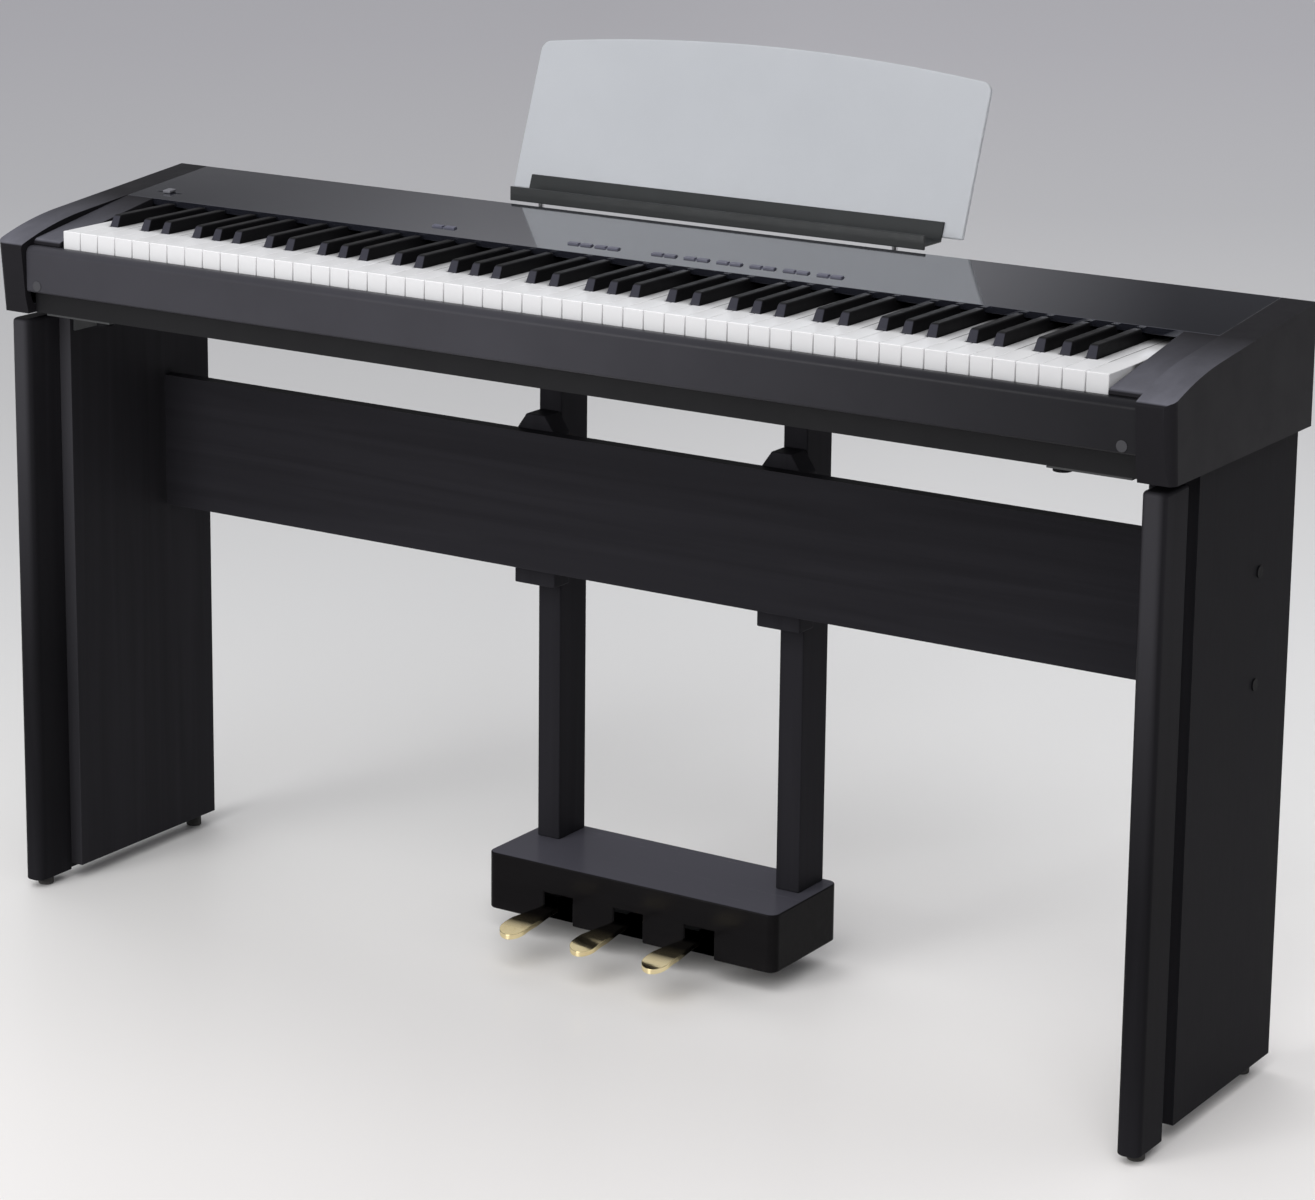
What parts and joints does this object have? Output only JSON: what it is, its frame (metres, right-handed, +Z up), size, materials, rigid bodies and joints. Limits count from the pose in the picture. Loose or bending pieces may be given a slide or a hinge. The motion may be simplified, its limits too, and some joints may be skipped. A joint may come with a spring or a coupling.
{
  "type": "digital piano",
  "caption": "Long keyboard case with hinged keys and a clear music rest, on a stand of two board legs, a beam and a pedal box on posts.",
  "frame": {"origin": "on the floor, under the middle of the overall box", "axes": "+X along the keys to the treble end, +Y away from the player, +Z up"},
  "size_m": [1.372, 0.4358, 0.9399],
  "materials": {
    "case_plastic": "fine satin grain",
    "panel_plastic": "smooth gloss",
    "white_keys": "polished",
    "black_keys": "satin",
    "board_laminate": "black laminated board, satin",
    "brass_plate": "polished",
    "bright_steel": "brushed",
    "dark_steel": "powder coated",
    "clear_acrylic": "clear, polished edges",
    "felt": "woven felt",
    "circuit_board": "lacquered",
    "speaker_body": "dull",
    "button_plastic": "satin",
    "knob_plastic": "satin",
    "glide_plastic": "dull"
  },
  "bodies": {
    "piano_and_stand": {"bottom_case": "case_plastic", "key_slip": "case_plastic", "end_cap_left": "case_plastic", "end_cap_right": "case_plastic", "key_blocks": "case_plastic", "top_panel": "panel_plastic", "rear_panel": "case_plastic", "key_frame": "dark_steel", "pivot_rail": "bright_steel", "key_felts": "felt", "main_board": "circuit_board", "panel_board": "circuit_board", "speakers": "speaker_body", "rear_sockets": "case_plastic", "screw_caps": "knob_plastic", "music_ledge": "dark_steel", "music_panel": "clear_acrylic", "rest_rods": "bright_steel", "rest_blocks": "case_plastic", "rest_screws": "bright_steel", "side_board_left": "board_laminate", "side_board_right": "board_laminate", "pillar_left": "board_laminate", "pillar_right": "board_laminate", "cross_beam": "board_laminate", "leg_glides": "glide_plastic", "stand_bolts": "dark_steel", "leg_brackets": "dark_steel", "posts": "board_laminate", "post_clamps": "board_laminate", "pedal_cover": "case_plastic", "pedal_base": "dark_steel", "pedal_axle": "bright_steel", "pedal_springs": "bright_steel", "pedal_adjuster": "glide_plastic"},
    "keys_c": {"keys_c": "white_keys"},
    "keys_c_sharp": {"keys_c_sharp": "black_keys"},
    "keys_d": {"keys_d": "white_keys"},
    "keys_d_sharp": {"keys_d_sharp": "black_keys"},
    "keys_e": {"keys_e": "white_keys"},
    "keys_f": {"keys_f": "white_keys"},
    "keys_f_sharp": {"keys_f_sharp": "black_keys"},
    "keys_g": {"keys_g": "white_keys"},
    "keys_g_sharp": {"keys_g_sharp": "black_keys"},
    "keys_a": {"keys_a": "white_keys"},
    "keys_a_sharp": {"keys_a_sharp": "black_keys"},
    "keys_b": {"keys_b": "white_keys"},
    "rocker_low": {"rocker_low": "button_plastic"},
    "rocker_mid_1": {"rocker_mid_1": "button_plastic"},
    "rocker_mid_2": {"rocker_mid_2": "button_plastic"},
    "rocker_row_1": {"rocker_row_1": "button_plastic"},
    "rocker_row_2": {"rocker_row_2": "button_plastic"},
    "rocker_row_3": {"rocker_row_3": "button_plastic"},
    "rocker_row_4": {"rocker_row_4": "button_plastic"},
    "rocker_row_5": {"rocker_row_5": "button_plastic"},
    "rocker_row_6": {"rocker_row_6": "button_plastic"},
    "volume_knob": {"volume_knob": "knob_plastic"},
    "pedal_left": {"pedal_left": "brass_plate"},
    "pedal_centre": {"pedal_centre": "brass_plate"},
    "pedal_right": {"pedal_right": "brass_plate"}
  },
  "joints": [
    {"name": "keys_c_press", "type": "hinge", "parent": "piano_and_stand", "child": "keys_c", "pos_m": [0, 0.04109, 0.722], "axis": [1, 0, 0], "range_deg": [0, 2.4], "stiffness_Nm_per_rad": 6, "springref_deg": -14.32},
    {"name": "keys_c_sharp_press", "type": "hinge", "parent": "piano_and_stand", "child": "keys_c_sharp", "pos_m": [0, 0.04109, 0.722], "axis": [1, 0, 0], "range_deg": [0, 2.4], "stiffness_Nm_per_rad": 5.25, "springref_deg": -14.32},
    {"name": "keys_d_press", "type": "hinge", "parent": "piano_and_stand", "child": "keys_d", "pos_m": [0, 0.04109, 0.722], "axis": [1, 0, 0], "range_deg": [0, 2.4], "stiffness_Nm_per_rad": 5.25, "springref_deg": -14.32},
    {"name": "keys_d_sharp_press", "type": "hinge", "parent": "piano_and_stand", "child": "keys_d_sharp", "pos_m": [0, 0.04109, 0.722], "axis": [1, 0, 0], "range_deg": [0, 2.4], "stiffness_Nm_per_rad": 5.25, "springref_deg": -14.32},
    {"name": "keys_e_press", "type": "hinge", "parent": "piano_and_stand", "child": "keys_e", "pos_m": [0, 0.04109, 0.722], "axis": [1, 0, 0], "range_deg": [0, 2.4], "stiffness_Nm_per_rad": 5.25, "springref_deg": -14.32},
    {"name": "keys_f_press", "type": "hinge", "parent": "piano_and_stand", "child": "keys_f", "pos_m": [0, 0.04109, 0.722], "axis": [1, 0, 0], "range_deg": [0, 2.4], "stiffness_Nm_per_rad": 5.25, "springref_deg": -14.32},
    {"name": "keys_f_sharp_press", "type": "hinge", "parent": "piano_and_stand", "child": "keys_f_sharp", "pos_m": [0, 0.04109, 0.722], "axis": [1, 0, 0], "range_deg": [0, 2.4], "stiffness_Nm_per_rad": 5.25, "springref_deg": -14.32},
    {"name": "keys_g_press", "type": "hinge", "parent": "piano_and_stand", "child": "keys_g", "pos_m": [0, 0.04109, 0.722], "axis": [1, 0, 0], "range_deg": [0, 2.4], "stiffness_Nm_per_rad": 5.25, "springref_deg": -14.32},
    {"name": "keys_g_sharp_press", "type": "hinge", "parent": "piano_and_stand", "child": "keys_g_sharp", "pos_m": [0, 0.04109, 0.722], "axis": [1, 0, 0], "range_deg": [0, 2.4], "stiffness_Nm_per_rad": 5.25, "springref_deg": -14.32},
    {"name": "keys_a_press", "type": "hinge", "parent": "piano_and_stand", "child": "keys_a", "pos_m": [0, 0.04109, 0.722], "axis": [1, 0, 0], "range_deg": [0, 2.4], "stiffness_Nm_per_rad": 6, "springref_deg": -14.32},
    {"name": "keys_a_sharp_press", "type": "hinge", "parent": "piano_and_stand", "child": "keys_a_sharp", "pos_m": [0, 0.04109, 0.722], "axis": [1, 0, 0], "range_deg": [0, 2.4], "stiffness_Nm_per_rad": 6, "springref_deg": -14.32},
    {"name": "keys_b_press", "type": "hinge", "parent": "piano_and_stand", "child": "keys_b", "pos_m": [0, 0.04109, 0.722], "axis": [1, 0, 0], "range_deg": [0, 2.4], "stiffness_Nm_per_rad": 6, "springref_deg": -14.32},
    {"name": "rocker_low_tilt", "type": "hinge", "parent": "piano_and_stand", "child": "rocker_low", "pos_m": [-0.2435, -0.01757, 0.74958], "axis": [0, 0.9948, 0.1019], "range_deg": [-3, 3], "stiffness_Nm_per_rad": 0.1},
    {"name": "rocker_mid_1_tilt", "type": "hinge", "parent": "piano_and_stand", "child": "rocker_mid_1", "pos_m": [-0.073, -0.01757, 0.74958], "axis": [0, 0.9948, 0.1019], "range_deg": [-3, 3], "stiffness_Nm_per_rad": 0.1},
    {"name": "rocker_mid_2_tilt", "type": "hinge", "parent": "piano_and_stand", "child": "rocker_mid_2", "pos_m": [-0.04, -0.01757, 0.74958], "axis": [0, 0.9948, 0.1019], "range_deg": [-3, 3], "stiffness_Nm_per_rad": 0.1},
    {"name": "rocker_row_1_tilt", "type": "hinge", "parent": "piano_and_stand", "child": "rocker_row_1", "pos_m": [0.0285, -0.01757, 0.74958], "axis": [0, 0.9948, 0.1019], "range_deg": [-3, 3], "stiffness_Nm_per_rad": 0.1},
    {"name": "rocker_row_2_tilt", "type": "hinge", "parent": "piano_and_stand", "child": "rocker_row_2", "pos_m": [0.0671, -0.01757, 0.74958], "axis": [0, 0.9948, 0.1019], "range_deg": [-3, 3], "stiffness_Nm_per_rad": 0.1},
    {"name": "rocker_row_3_tilt", "type": "hinge", "parent": "piano_and_stand", "child": "rocker_row_3", "pos_m": [0.1057, -0.01757, 0.74958], "axis": [0, 0.9948, 0.1019], "range_deg": [-3, 3], "stiffness_Nm_per_rad": 0.1},
    {"name": "rocker_row_4_tilt", "type": "hinge", "parent": "piano_and_stand", "child": "rocker_row_4", "pos_m": [0.1443, -0.01757, 0.74958], "axis": [0, 0.9948, 0.1019], "range_deg": [-3, 3], "stiffness_Nm_per_rad": 0.1},
    {"name": "rocker_row_5_tilt", "type": "hinge", "parent": "piano_and_stand", "child": "rocker_row_5", "pos_m": [0.1829, -0.01757, 0.74958], "axis": [0, 0.9948, 0.1019], "range_deg": [-3, 3], "stiffness_Nm_per_rad": 0.1},
    {"name": "rocker_row_6_tilt", "type": "hinge", "parent": "piano_and_stand", "child": "rocker_row_6", "pos_m": [0.2215, -0.01757, 0.74958], "axis": [0, 0.9948, 0.1019], "range_deg": [-3, 3], "stiffness_Nm_per_rad": 0.1},
    {"name": "volume_slide", "type": "slide", "parent": "piano_and_stand", "child": "volume_knob", "axis": [1, 0, 0], "range_m": [-0.014, 0.014]},
    {"name": "pedal_left_press", "type": "hinge", "parent": "piano_and_stand", "child": "pedal_left", "pos_m": [-0.088, 0.07158, 0.044], "axis": [1, 0, 0], "range_deg": [0, 4], "stiffness_Nm_per_rad": 8, "springref_deg": -14.32},
    {"name": "pedal_centre_press", "type": "hinge", "parent": "piano_and_stand", "child": "pedal_centre", "pos_m": [0, 0.07158, 0.044], "axis": [1, 0, 0], "range_deg": [0, 4], "stiffness_Nm_per_rad": 8, "springref_deg": -14.32},
    {"name": "pedal_right_press", "type": "hinge", "parent": "piano_and_stand", "child": "pedal_right", "pos_m": [0.088, 0.07158, 0.044], "axis": [1, 0, 0], "range_deg": [0, 4], "stiffness_Nm_per_rad": 8, "springref_deg": -14.32}
  ]
}
